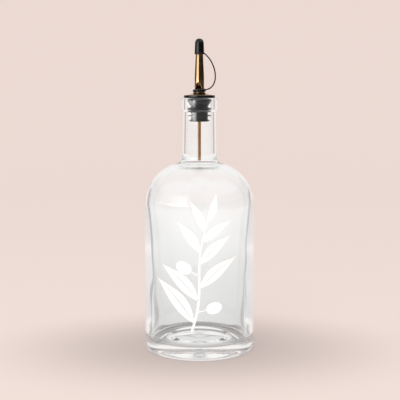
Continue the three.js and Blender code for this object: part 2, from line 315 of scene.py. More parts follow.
def start_profile(name, first):
    """A new mesh of one vertex at the profile's first point, left in edit mode."""
    bpy.ops.object.select_all(action="DESELECT")
    bpy.ops.mesh.primitive_plane_add(size=MM, location=first)
    piece = bpy.context.object
    piece.name = name
    piece.data.name = name
    bpy.ops.object.transform_apply()
    bpy.ops.object.mode_set(mode="EDIT")
    bpy.ops.mesh.select_mode(type="VERT")
    bpy.ops.mesh.select_all(action="SELECT")
    bpy.ops.mesh.merge(type="CENTER")
    return piece


def extrude_through(points):
    """Extrudes the last vertex of a profile from point to point."""
    for here, there in zip(points, points[1:]):
        bpy.ops.mesh.extrude_vertices_move(TRANSFORM_OT_translate={"value": there - here})
    bpy.ops.mesh.select_all(action="SELECT")
    bpy.ops.mesh.remove_doubles(threshold=MERGE)


def select_where(piece, wanted):
    """Selects the vertices whose place passes a test, in edit mode."""
    mesh = bmesh.from_edit_mesh(piece.data)
    bpy.ops.mesh.select_all(action="DESELECT")
    for vertex in mesh.verts:
        if wanted(vertex.co):
            vertex.select_set(True)
    mesh.select_flush_mode()
    bmesh.update_edit_mesh(piece.data)


def round_corners(piece, corners, radius, segments):
    """Rounds the named corners of a profile."""
    select_where(piece, lambda place: any((place - corner).length < 0.01 * MM for corner in corners))
    bpy.ops.mesh.bevel(offset=radius, segments=segments, affect="VERTICES")


def spin_shut(steps):
    """Spins the profile round the Z axis into a closed skin that faces outwards."""
    bpy.ops.mesh.select_all(action="SELECT")
    bpy.ops.mesh.spin(steps=steps, angle=2 * math.pi, center=(0, 0, 0), axis=(0, 0, 1))
    bpy.ops.mesh.select_all(action="SELECT")
    bpy.ops.mesh.remove_doubles(threshold=MERGE)
    bpy.ops.mesh.normals_make_consistent(inside=False)


def turned(name, profile, steps, corners=(), radius=0.0, segments=3):
    """A profile with rounded corners, spun into a piece and left in object mode."""
    piece = start_profile(name, profile[0])
    extrude_through(profile)
    if corners:
        round_corners(piece, corners, radius, segments)
    spin_shut(steps)
    bpy.ops.object.mode_set(mode="OBJECT")
    bpy.ops.object.shade_smooth_by_angle(angle=SMOOTH_ANGLE)
    return piece


def apply_modifier(piece, kind, **settings):
    """Adds a modifier to a piece, sets it up and applies it."""
    bpy.ops.object.select_all(action="DESELECT")
    piece.select_set(True)
    bpy.context.view_layer.objects.active = piece
    modifier = piece.modifiers.new(kind.title(), kind)
    for name, value in settings.items():
        setattr(modifier, name, value)
    bpy.ops.object.modifier_apply(modifier=modifier.name)


def bent_bar(name, points, radius, caps):
    """A round bar along a curve; each point comes with its two handles."""
    bpy.ops.object.select_all(action="DESELECT")
    bpy.ops.curve.primitive_bezier_curve_add(location=(0, 0, 0))
    bar = bpy.context.object
    bar.name = name
    spline = bar.data.splines[0]
    spline.bezier_points.add(len(points) - 2)
    for knot, (before, place, after) in zip(spline.bezier_points, points):
        knot.handle_left_type = "FREE"
        knot.handle_right_type = "FREE"
        knot.co = place
        knot.handle_left = before
        knot.handle_right = after
    bar.data.dimensions = "3D"
    bar.data.resolution_u = 28
    bar.data.bevel_depth = radius
    bar.data.bevel_resolution = 6
    bar.data.use_fill_caps = caps
    bpy.ops.object.convert(target="MESH")
    bar = bpy.context.object
    bar.data.name = name
    bpy.ops.object.mode_set(mode="EDIT")
    bpy.ops.mesh.select_all(action="SELECT")
    bpy.ops.mesh.remove_doubles(threshold=MERGE)
    bpy.ops.mesh.normals_make_consistent(inside=False)
    bpy.ops.object.mode_set(mode="OBJECT")
    bpy.ops.object.shade_smooth_by_angle(angle=SMOOTH_ANGLE)
    return bar


def finish_piece(piece, material, node=None):
    """Gives a piece its material, its body and its slot, and hides the CAD node that it stands for."""
    piece.data.materials.clear()
    piece.data.materials.append(material)
    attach(piece, BODY)
    if node:
        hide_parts(node)


class Nodes:
    """A material's node tree, built from plain calls."""

    def __init__(self, name):
        self.material = bpy.data.materials.new(name)
        self.material.use_nodes = True
        self.tree = self.material.node_tree
        self.tree.nodes.clear()
        self.place = self.add("ShaderNodeTexCoord").outputs["Object"]

    def add(self, kind, inputs=None, **settings):
        """A node with its settings, and its sockets set to values or linked to other sockets."""
        node = self.tree.nodes.new(kind)
        for name, value in settings.items():
            setattr(node, name, value)
        for name, value in (inputs or {}).items():
            if isinstance(value, bpy.types.NodeSocket):
                self.tree.links.new(value, node.inputs[name])
            else:
                node.inputs[name].default_value = value
        return node

    def stretched(self, scale):
        """The piece's own coordinates, scaled along each axis."""
        return self.add("ShaderNodeMapping", {"Vector": self.place, "Scale": scale}).outputs["Vector"]

    def noise(self, scale, detail=3.0, roughness=0.5, vector=None):
        """Cloudy noise over the piece's own coordinates."""
        sockets = {
            "Vector": vector or self.place,
            "Scale": scale,
            "Detail": detail,
            "Roughness": roughness,
        }
        return self.add("ShaderNodeTexNoise", sockets).outputs["Fac"]

    def spread(self, value, low, high, new_low, new_high):
        """A value moved smoothly from one range to another."""
        sockets = {
            "Value": value,
            "From Min": low,
            "From Max": high,
            "To Min": new_low,
            "To Max": new_high,
        }
        node = self.add("ShaderNodeMapRange", sockets, interpolation_type="SMOOTHSTEP")
        return node.outputs["Result"]

    def math(self, operation, first, second):
        """Two numbers put together."""
        return self.add("ShaderNodeMath", {0: first, 1: second}, operation=operation).outputs["Value"]

    def mix(self, share, first, second):
        """Two colours mixed."""
        node = self.add("ShaderNodeMix", data_type="RGBA")
        for socket, value in ((0, share), (6, first), (7, second)):
            if isinstance(value, bpy.types.NodeSocket):
                self.tree.links.new(value, node.inputs[socket])
            elif socket:
                node.inputs[socket].default_value = (*value, 1)
            else:
                node.inputs[socket].default_value = value
        return node.outputs[2]

    def times(self, first, second):
        """Two colours multiplied."""
        node = self.add("ShaderNodeMix", data_type="RGBA", blend_type="MULTIPLY")
        node.inputs[0].default_value = 1
        self.tree.links.new(first, node.inputs[6])
        self.tree.links.new(second, node.inputs[7])
        return node.outputs[2]

    def height(self):
        """Height above the floor."""
        return self.add("ShaderNodeSeparateXYZ", {0: self.place}).outputs["Z"]

    def distance(self, vector, middle=(0, 0, 0)):
        """Distance of a place from a middle."""
        node = self.add("ShaderNodeVectorMath", {0: vector, 1: middle}, operation="DISTANCE")
        return node.outputs["Value"]

    def bump(self, height, strength, distance):
        """A normal roughened by a height."""
        sockets = {"Height": height, "Strength": strength, "Distance": distance}
        return self.add("ShaderNodeBump", sockets).outputs["Normal"]

    def finish(self, shader):
        """Links a shader to the output and hands the material over."""
        self.add("ShaderNodeOutputMaterial", {"Surface": shader.outputs[0]})
        return self.material


def glass_material(sizes):
    """Clear flint glass, a little uneven and with a breath of haze in places."""
    nodes = Nodes("flint_glass")
    haze = nodes.spread(nodes.noise(38, 4), 0.45, 0.8, 0.0, 0.012)
    shader = nodes.add(
        "ShaderNodeBsdfPrincipled",
        {
            "Base Color": (*sizes.tint, 1),
            "Roughness": haze,
            "Transmission Weight": 1.0,
            "IOR": 1.5,
        },
    )
    return nodes.finish(shader)


def rubber_material(sizes):
    """Moulded black rubber with a satin skin and a faint bloom."""
    nodes = Nodes("satin_rubber")
    bloom = nodes.spread(nodes.noise(260, 5, 0.6), 0.45, 0.72, 0.0, 1.0)
    skin = nodes.noise(5200, 2)
    shader = nodes.add(
        "ShaderNodeBsdfPrincipled",
        {
            "Base Color": nodes.mix(bloom, sizes.rubber, sizes.bloom),
            "Roughness": nodes.spread(bloom, 0, 1, 0.15, 0.23),
            "Specular IOR Level": 0.45,
            "Normal": nodes.bump(skin, 0.03, 0.01 * MM),
        },
    )
    return nodes.finish(shader)


def brass_material(sizes, hollow=None):
    """Polished brass, drawn along its length and lightly tarnished, with painted shade deep in a hollow.
    """
    nodes = Nodes("polished_brass")
    patches = nodes.noise(210, 5, 0.62)
    tarnish = nodes.spread(patches, 0.46, 0.78, 0.0, 0.75)
    drawn = nodes.noise(1, 2, 0.6, nodes.stretched((5200, 5200, 90)))
    tone = nodes.mix(tarnish, sizes.brass, sizes.tarnish)
    if hollow:
        # Painted shade: the brass turns dark near the hollow's middle, where shade falls in the vent.
        deep = nodes.spread(nodes.distance(nodes.place, hollow), 1.6 * MM, 2.6 * MM, 1.0, 0.0)
        tone = nodes.mix(deep, tone, sizes.painted_vent_shade)
    shader = nodes.add(
        "ShaderNodeBsdfPrincipled",
        {
            "Base Color": tone,
            "Metallic": 1.0,
            "Roughness": nodes.spread(patches, 0.35, 0.8, 0.1, 0.26),
            "Normal": nodes.bump(drawn, 0.04, 0.02 * MM),
        },
    )
    return nodes.finish(shader)


def ink_material(sizes):
    """White enamel ink, with a faintly uneven coat."""
    nodes = Nodes("enamel_ink")
    coat = nodes.noise(900, 4, 0.6)
    thin = nodes.spread(coat, 0.35, 0.75, 0.0, 1.0)
    pale = [part * 0.94 for part in sizes.ink]
    shader = nodes.add(
        "ShaderNodeBsdfPrincipled",
        {
            "Base Color": nodes.mix(thin, sizes.ink, pale),
            "Roughness": nodes.spread(coat, 0.3, 0.8, 0.38, 0.55),
            "Normal": nodes.bump(coat, 0.1, 0.03 * MM),
        },
    )
    return nodes.finish(shader)


BAND_SLOPE = 1 * MM
CROWN_SLOPE = 6 * MM
CROWN_ROWS = 12
SUPPORT_ROW = 0.25 * MM
LONGEST_ROW = 4 * MM
GLASS_STEPS = 160

# Heights over which the ripple and the thick sides of the inside wall set in and fade.
RIPPLE_REACH = 22 * MM
RIPPLE_FADE = 24 * MM
RIPPLE_START = 14 * MM
SIDES_FADE = 30 * MM
SIDES_START = 12 * MM
INSIDE_MARGIN = 0.5 * MM


class OILBOTTLE_OT_glass(bpy.types.Operator):
    """Models the glass: one profile up the outside and down the inside, spun"""

    bl_idname = "oil_bottle.glass"
    bl_label = "Glass bottle"

    def outer_profile(self, sizes, body):
        """The outside, from the middle of the base up to the mouth."""
        heel = sizes.heel_radius
        axis = body - sizes.shoulder_radius
        shoulder = sizes.shoulder_height
        round_shoulder = sizes.shoulder_radius
        fillet = sizes.neck_base_radius + sizes.neck_fillet
        fillet_height, meeting = touching_fillet(axis, shoulder, round_shoulder, fillet, sizes.neck_fillet)
        push_radius = (sizes.bearing_radius**2 + sizes.push_up**2) / (2 * sizes.push_up)
        push_sweep = math.degrees(math.asin(sizes.bearing_radius / push_radius))
        band_foot = GLASS_TOP - sizes.band_height
        foot_round = sizes.band_foot_round
        top_round = sizes.band_top_round
        return [
            *arc(0, sizes.push_up - push_radius, push_radius, 90, 90 - push_sweep, 12),
            *arc(body - heel, heel, heel, -90, 0, 14),
            *arc(axis, shoulder, round_shoulder, 0, meeting, 32),
            *arc(fillet, fillet_height, sizes.neck_fillet, meeting + 180, 180, 14)[1:],
            at(sizes.neck_top_radius, band_foot - BAND_SLOPE),
            *arc(sizes.band_radius - foot_round, band_foot + foot_round, foot_round, -90, 0, 8),
            *arc(sizes.band_radius - top_round, GLASS_TOP - top_round, top_round, 0, 90, 12),
        ]

    def inner_profile(self, sizes, body):
        """The inside, from the mouth down to the middle of the floor."""
        inside = body - sizes.wall
        axis = body - sizes.shoulder_radius
        shoulder = sizes.shoulder_height
        round_shoulder = sizes.shoulder_radius - sizes.wall
        root = sizes.neck_base_radius - sizes.wall + sizes.root_fillet
        root_height, meeting = touching_fillet(axis, shoulder, round_shoulder, root, sizes.root_fillet)
        wall_low = sizes.floor_height + sizes.floor_fillet
        mouth = sizes.mouth_round
        points = [
            *arc(sizes.bore_radius + mouth, GLASS_TOP - mouth, mouth, 90, 180, 8),
            at(sizes.bore_radius, GLASS_TOP - sizes.band_height),
            *arc(root, root_height, sizes.root_fillet, 180, meeting + 180, 18),
            *arc(axis, shoulder, round_shoulder, meeting, 0, 32)[1:],
            *arc(inside - sizes.floor_fillet, wall_low, sizes.floor_fillet, 0, -90, 18),
        ]
        for row in range(CROWN_ROWS + 1):
            share = row / CROWN_ROWS
            rise = (1 - math.cos(math.pi * share)) / 2
            radius = sizes.crown_radius + (0.5 - share) * CROWN_SLOPE
            points.append(at(radius, sizes.floor_height + sizes.floor_crown * rise))
        points.append(at(0, sizes.floor_height + sizes.floor_crown))
        return points

    def mark_inside(self, bottle, sizes, inside):
        """Marks how uneven the inside wall is, and how thick it is at its two sides."""
        inner_wall = bottle.vertex_groups.new(name="inner_wall")
        thick_sides = bottle.vertex_groups.new(name="thick_sides")
        for vertex in bottle.data.vertices:
            rise = vertex.co.z - sizes.floor_height
            below = sizes.shoulder_height - vertex.co.z
            radius = vertex.co.to_2d().length
            if rise < 0 or radius > inside + INSIDE_MARGIN:
                continue
            uneven = clamped((below + RIPPLE_REACH) / RIPPLE_FADE) * clamped(rise / RIPPLE_START)
            if uneven > 0:
                inner_wall.add([vertex.index], uneven, "REPLACE")
            side = (abs(vertex.co.x) / radius) ** 4 if radius else 0
            thick = clamped(below / SIDES_FADE) * clamped(rise / SIDES_START) * side
            if thick > 0:
                thick_sides.add([vertex.index], thick, "REPLACE")

    def execute(self, context):
        sizes = context.scene.oil_bottle.glass
        body = GLASS_RADIUS - sizes.ink_room
        profile = self.outer_profile(sizes, body) + self.inner_profile(sizes, body)
        bottle = turned("clear_bottle", supported(profile, SUPPORT_ROW, LONGEST_ROW), GLASS_STEPS)
        self.mark_inside(bottle, sizes, body - sizes.wall)
        apply_modifier(
            bottle,
            "DISPLACE",
            vertex_group="thick_sides",
            strength=sizes.thick_sides,
            mid_level=0,
        )
        clouds = bpy.data.textures.new("uneven_wall", "CLOUDS")
        clouds.noise_scale = sizes.ripple_size
        clouds.noise_depth = 1
        apply_modifier(
            bottle,
            "DISPLACE",
            texture=clouds,
            texture_coords="LOCAL",
            vertex_group="inner_wall",
            strength=sizes.ripple,
            mid_level=0.5,
        )
        finish_piece(bottle, glass_material(sizes), "bottle")
        return {"FINISHED"}


TURNING_STEPS = 112

# Sizes of the fins in millimetres, from the lowest up.
FINS = (
    {"height": 184.8, "radius": 8.1, "root": 1.5, "tip": 0.7, "droop": 0.2},
    {"height": 188.7, "radius": 9.5, "root": 1.3, "tip": 0.7, "droop": 0.1},
    {"height": 194.1, "radius": 9.8, "root": 2.6, "tip": 0.7, "droop": 0.0},
)


class OILBOTTLE_OT_stopper(bpy.types.Operator):
    """Models the stopper: a lipped flange, a tapered plug and three fins on a core"""

    bl_idname = "oil_bottle.stopper"
    bl_label = "Rubber stopper"

    def execute(self, context):
        sizes = context.scene.oil_bottle.stopper
        core = sizes.core_radius
        lip = WASHER_RADIUS + sizes.lip_gap
        lip_height = FLANGE_TOP - (WASHER_SEAT - PIECE_GAP)
        seat = FLANGE_TOP - lip_height - sizes.flange_thickness
        profile = [at(sizes.bore_radius, STOPPER_FOOT), at(core, STOPPER_FOOT)]
        for fin in FINS:
            height = fin["height"] * MM
            edge = fin["radius"] * MM
            root = fin["root"] * MM / 2
            tip = fin["tip"] * MM / 2
            low = height - fin["droop"] * MM
            profile += [
                at(core, height - root),
                at(edge, low - tip),
                at(edge, low + tip),
                at(core, height + root),
            ]
        profile += [
            at(core, seat - sizes.core_top),
            at(sizes.plug_radius, seat - sizes.plug_depth),
            at(sizes.plug_radius, seat),
            at(FLANGE_RADIUS, seat),
            at(FLANGE_RADIUS, FLANGE_TOP),
            at(lip + lip_height, FLANGE_TOP),
            at(lip, FLANGE_TOP - lip_height),
            at(sizes.bore_radius, FLANGE_TOP - lip_height),
        ]
        corners = profile[:-4] + profile[-3:-2]
        stopper = start_profile("rubber_stopper", profile[0])
        extrude_through([*profile, profile[0]])
        round_corners(stopper, corners, sizes.edge_round, 3)
        round_corners(stopper, [at(FLANGE_RADIUS, FLANGE_TOP)], sizes.flange_round, 5)
        spin_shut(TURNING_STEPS)
        bpy.ops.object.mode_set(mode="OBJECT")
        bpy.ops.object.shade_smooth_by_angle(angle=SMOOTH_ANGLE)
        finish_piece(stopper, rubber_material(sizes), "stopper")
        return {"FINISHED"}


WASHER_ROWS = 16
WASHER_DOME = 1.5
WASHER_EDGE = 0.18 * MM


class OILBOTTLE_OT_washer(bpy.types.Operator):
    """Models the domed brass washer on the stopper"""

    bl_idname = "oil_bottle.washer"
    bl_label = "Brass washer"

    def execute(self, context):
        sizes = context.scene.oil_bottle.brass
        bore = context.scene.oil_bottle.stopper.bore_radius
        rise = WASHER_TOP - WASHER_SEAT - sizes.washer_rim
        slope = []
        for row in range(WASHER_ROWS + 1):
            share = row / WASHER_ROWS
            radius = WASHER_RADIUS + (sizes.washer_top_radius - WASHER_RADIUS) * share
            slope.append(at(radius, WASHER_SEAT + sizes.washer_rim + rise * share**WASHER_DOME))
        profile = [
            at(bore, WASHER_SEAT),
            at(WASHER_RADIUS, WASHER_SEAT),
            *slope,
            at(bore, WASHER_TOP),
            at(bore, WASHER_SEAT),
        ]
        corners = [profile[1], slope[0]]
        washer = turned("brass_washer", profile, TURNING_STEPS, corners, WASHER_EDGE, 4)
        finish_piece(washer, brass_material(sizes), "washer")
        return {"FINISHED"}


VENT_ROWS = 48
VENT_MARGIN = 0.3 * MM
SPOUT_STEPS = 144
SPOUT_EDGE = 0.15 * MM

# Shares of the vent's height and width: where it closes, and its lip and its hollow, round which the brass
# is painted dark as shade.
VENT_RUN_OUT = 0.15
LIP_SHARE = 0.4
LIP_START = 0.2
HOLLOW_DROP = 0.7
HOLLOW_REACH = 1 * MM


def vent_side(sizes):
    """The way that the vent faces."""
    return Vector((-math.sin(sizes.vent_turn), -math.cos(sizes.vent_turn), 0))


def vent_shares(place, sizes):
    """How far a point of the spout is pressed into the vent's pointed arch, and raised into its lip."""
    drop = (SPOUT_SEAT + sizes.vent_apex - place.z) / sizes.vent_height
    turn = math.atan2(-place.x, -place.y) - sizes.vent_turn
    if drop <= 0 or drop > 1 + VENT_RUN_OUT:
        return 0.0, 0.0
    across = abs(turn) / (sizes.vent_spread * min(1, drop) ** 0.62)
    close = clamped((1 + VENT_RUN_OUT - drop) / VENT_RUN_OUT)
    if across < 1:
        return min(1, drop) ** 0.8 * (1 - across**2) ** 0.7 * close, 0.0
    if across > 1 + LIP_SHARE:
        return 0.0, 0.0
    return 0.0, math.sin(math.pi * (across - 1) / LIP_SHARE) * min(1, drop / LIP_START) * close


class OILBOTTLE_OT_spout(bpy.types.Operator):
    """Models the hollow tapered spout and presses the vent into its front"""

    bl_idname = "oil_bottle.spout"
    bl_label = "Brass spout"

    def execute(self, context):
        sizes = context.scene.oil_bottle.brass
        foot_top = SPOUT_SEAT + sizes.foot_height
        taper = SPOUT_SEAT + sizes.taper_start
        vent_top = SPOUT_SEAT + sizes.vent_apex + VENT_MARGIN
        radius = sizes.spout_radius
        inside = radius - sizes.wall
        outer = [
            at(sizes.shank_radius, SHANK_FOOT),
            at(sizes.shank_radius, SPOUT_SEAT),
            at(FOOT_RADIUS, SPOUT_SEAT),
            at(FOOT_RADIUS, SPOUT_SEAT + sizes.foot_height / 2),
            at(radius, foot_top),
            *between(at(radius, foot_top), at(radius, vent_top), VENT_ROWS),
            at(radius, vent_top),
            at(radius, taper),
            at(sizes.tip_radius, SPOUT_TOP),
        ]
        inner = [
            at(sizes.tip_radius - sizes.wall, SPOUT_TOP),
            at(inside, taper),
            at(inside, vent_top),
            *between(at(inside, vent_top), at(inside, foot_top), VENT_ROWS),
            at(inside, foot_top),
            at(inside, SHANK_FOOT),
        ]
        corners = [outer[2], outer[3], outer[-1], inner[0]]
        profile = [*outer, *inner, outer[0]]
        spout = turned("brass_spout", profile, SPOUT_STEPS, corners, SPOUT_EDGE)
        vent = spout.vertex_groups.new(name="vent")
        lip = spout.vertex_groups.new(name="lip")
        for vertex in spout.data.vertices:
            pressed, raised = vent_shares(vertex.co, sizes)
            if pressed > 0:
                vent.add([vertex.index], pressed, "REPLACE")
            if raised > 0 and vertex.co.to_2d().length > inside + sizes.wall / 2:
                lip.add([vertex.index], raised, "REPLACE")
        apply_modifier(spout, "DISPLACE", vertex_group="lip", strength=sizes.vent_lip, mid_level=0)
        apply_modifier(
            spout,
            "DISPLACE",
            direction="Y",
            vertex_group="vent",
            strength=sizes.vent_depth,
            mid_level=0,
        )
        bpy.ops.object.shade_smooth_by_angle(angle=SMOOTH_ANGLE)
        # The middle of the vent's painted shade.
        hollow = vent_side(sizes) * HOLLOW_REACH
        hollow.z = SPOUT_SEAT + sizes.vent_apex - sizes.vent_height * HOLLOW_DROP
        finish_piece(spout, brass_material(sizes, hollow), "spout")
        return {"FINISHED"}


MOUTH_REACH = 2.35 * MM
MOUTH_DROP = 0.82
TUBE_BEND_DEPTH = 10.8 * MM
TUBE_PULL = 6 * MM
MOUTH_PULLS = (2 * MM, 5 * MM)


class OILBOTTLE_OT_air_tube(bpy.types.Operator):
    """Models the hollow air tube, from the vent down to the root of the neck"""

    bl_idname = "oil_bottle.air_tube"
    bl_label = "Air tube"

    def execute(self, context):
        sizes = context.scene.oil_bottle.brass
        out = vent_side(sizes)
        slant = out * math.sin(sizes.tube_slant) + Vector((0, 0, math.cos(sizes.tube_slant)))
        mouth = out * MOUTH_REACH
        mouth.z = SPOUT_SEAT + sizes.vent_apex - sizes.vent_height * MOUTH_DROP
        bend = Vector((0, 0, SPOUT_SEAT - TUBE_BEND_DEPTH))
        end = Vector((0, 0, TUBE_END))
        pull = Vector((0, 0, TUBE_PULL))
        points = (
            (mouth + slant * MOUTH_PULLS[0], mouth, mouth - slant * MOUTH_PULLS[1]),
            (bend + pull, bend, bend - pull),
            (end + pull, end, end - pull),
        )
        tube = bent_bar("brass_air_tube", points, sizes.tube_radius, False)
        apply_modifier(tube, "SOLIDIFY", thickness=sizes.tube_wall, offset=-1)
        bpy.ops.object.shade_smooth_by_angle(angle=SMOOTH_ANGLE)
        finish_piece(tube, brass_material(sizes), "air_tube")
        return {"FINISHED"}


CAP_BLUNTNESS = 2.4
CAP_STEPS = 72
CAP_EDGE = 0.14 * MM
END_ROWS = 18
RIM_INSET = 0.08 * MM
RIM_SLOPE = 0.2 * MM
RING_EDGE = 0.12 * MM


class OILBOTTLE_OT_dust_cap(bpy.types.Operator):
    """Models the dust cap, its ring and its tether, and joins them into one moulding"""

    bl_idname = "oil_bottle.dust_cap"
    bl_label = "Dust cap"

    def execute(self, context):
        sizes = context.scene.oil_bottle.cap
        brass = context.scene.oil_bottle.brass
        taper = SPOUT_SEAT + brass.taper_start
        share = (sizes.bottom - taper) / (SPOUT_TOP - taper)
        mouth = brass.spout_radius + (brass.tip_radius - brass.spout_radius) * share + sizes.gap
        socket_top = CAP_TOP - sizes.roof
        rim_top = sizes.bottom + sizes.rim_height
        round_end = []
        for row in range(END_ROWS + 1):
            turn = math.pi / 2 * row / END_ROWS
            radius = sizes.shoulder_radius * math.cos(turn) ** (2 / CAP_BLUNTNESS)
            rise = sizes.end_height * math.sin(turn) ** (2 / CAP_BLUNTNESS)
            round_end.append(at(radius, CAP_TOP - sizes.end_height + rise))
        round_end[-1] = at(0, CAP_TOP)
        profile = [
            at(0, socket_top),
            at(brass.tip_radius + sizes.gap, socket_top),
            at(mouth, sizes.bottom),
            at(sizes.rim_radius, sizes.bottom),
            at(sizes.rim_radius, rim_top),
            at(sizes.rim_radius - RIM_INSET, rim_top + RIM_SLOPE),
            *round_end,
        ]
        cap = turned("rubber_dust_cap", profile, CAP_STEPS, profile[2:6], CAP_EDGE)

        half = sizes.ring_thickness / 2
        bore = brass.spout_radius + sizes.gap
        sleeve = bore + sizes.sleeve_wall
        low = -half - sizes.skirt_drop
        high = half + sizes.sleeve_rise
        skirt = FOOT_RADIUS + sizes.gap
        skirt_edge = skirt + sizes.skirt_wall
        skirt_meeting = math.degrees(math.acos((skirt_edge - RING_RADIUS + half) / half))
        ring_profile = [
            at(bore, -half),
            at(skirt, low),
            at(skirt_edge, low),
            *arc(RING_RADIUS - half, 0, half, -skirt_meeting, 90, 12),
            at(sleeve, half),
            at(sleeve, high),
            at(bore, high),
            at(bore, -half),
        ]
        corners = [at(skirt_edge, low), at(sleeve, high), at(bore, high)]
        ring = turned("ring", ring_profile, CAP_STEPS, corners, RING_EDGE)
        ring.rotation_euler = (0, -sizes.ring_tilt, 0)
        ring.location = (0, 0, sizes.ring_height)
        bpy.ops.object.transform_apply()

        start = RING_RADIUS - half
        leave = Vector((start, 0, sizes.ring_height + start * math.tan(sizes.ring_tilt)))
        meet = Vector((sizes.rim_radius - sizes.tether_radius / 2, 0, rim_top - sizes.tether_radius / 2))
        route = (
            (leave, leave, Vector(sizes.low_pull)),
            (Vector(sizes.high_pull), meet, meet),
        )
        tether = bent_bar("tether", route, sizes.tether_radius, True)
        for part in (tether, ring):
            apply_modifier(cap, "BOOLEAN", operation="UNION", object=part, solver="EXACT")
            bpy.data.objects.remove(part)
        bpy.ops.object.shade_smooth_by_angle(angle=SMOOTH_ANGLE)
        rubber = rubber_material(context.scene.oil_bottle.stopper)
        finish_piece(cap, rubber, "dust_cap")
        return {"FINISHED"}


RIB_END = 0.86


def flat_shape(name, columns, rows, outline, bend=0.0, rib=0.0):
    """A flat shape one unit long and wide, from a grid with resized rows; rib leaves a slit down it."""
    bpy.ops.object.select_all(action="DESELECT")
    bpy.ops.mesh.primitive_grid_add(
        x_subdivisions=columns,
        y_subdivisions=rows,
        size=1,
        location=(0, 0.5, 0),
    )
    shape = bpy.context.object
    shape.name = name
    bpy.ops.object.transform_apply()
    bpy.ops.object.mode_set(mode="EDIT")
    bpy.ops.mesh.select_mode(type="VERT")
    if rib:
        half = 0.5 / columns
        select_where(shape, lambda place: abs(place.x) < half * 1.1)
        bpy.ops.transform.resize(value=(rib / (2 * half), 1, 1), center_override=(0, 0.5, 0))
        mesh = bmesh.from_edit_mesh(shape.data)
        bpy.ops.mesh.select_all(action="DESELECT")
        bpy.ops.mesh.select_mode(type="FACE")
        for face in mesh.faces:
            middle = face.calc_center_median()
            face.select_set(abs(middle.x) < 0.01 and middle.y < RIB_END)
        bmesh.update_edit_mesh(shape.data)
        bpy.ops.mesh.delete(type="FACE")
        bpy.ops.mesh.select_mode(type="VERT")
    for row in range(rows + 1):
        share = row / rows
        select_where(shape, lambda place: abs(place.y - share) < 0.2 / rows)
        bpy.ops.transform.resize(value=(outline(share), 1, 1), center_override=(0, share, 0))
        bpy.ops.transform.translate(value=(bend * math.sin(math.pi * share), 0, 0))
    bpy.ops.object.mode_set(mode="OBJECT")
    return shape


def leaf_outline(share):
    """Width of a leaf along its length."""
    return max(0.02, math.sin(math.pi * share**0.85) ** 1.1)


def fruit_outline(share):
    """Width of a fruit along its length."""
    return max(0.05, math.sqrt(max(0, 1 - (2 * share - 1) ** 2)))


def stem_outline(share):
    """Width of the stem along its length."""
    return 1 - 0.55 * share


def laid(shape, place, turn, size):
    """A copy of a flat shape with its own mesh, laid at a place, turned left and sized."""
    bpy.ops.object.select_all(action="DESELECT")
    shape.select_set(True)
    bpy.context.view_layer.objects.active = shape
    bpy.ops.object.duplicate()
    copy = bpy.context.object
    copy.location = (*place, 0)
    copy.rotation_euler = (0, 0, turn)
    copy.scale = (*size, 1)
    bpy.ops.object.transform_apply()
    return copy


# Places along the stem, on the left and the right by turns, and the fruits' turns from it in degrees.
LEAF_SHARES = (0.1, 0.2, 0.3, 0.41, 0.52, 0.62, 0.72, 0.81, 0.9)
FRUITS = {1: 66, 4: 62}
STEM_ROWS = 44
LEAF_BEND = 0.18
LEAF_RIB = 0.075
TIP_SHARE = 0.985
TIP_LEAN_SHARE = 0.98
TIP_SIZE = 0.5
STALK_LENGTH = 7.5 * MM
STALK_WIDTH = 0.9 * MM
STALK_OVERLAP = 0.95


def side_of(number):
    """The side of the stem that a leaf or fruit grows on: -1 is the left."""
    return 1 if number % 2 else -1


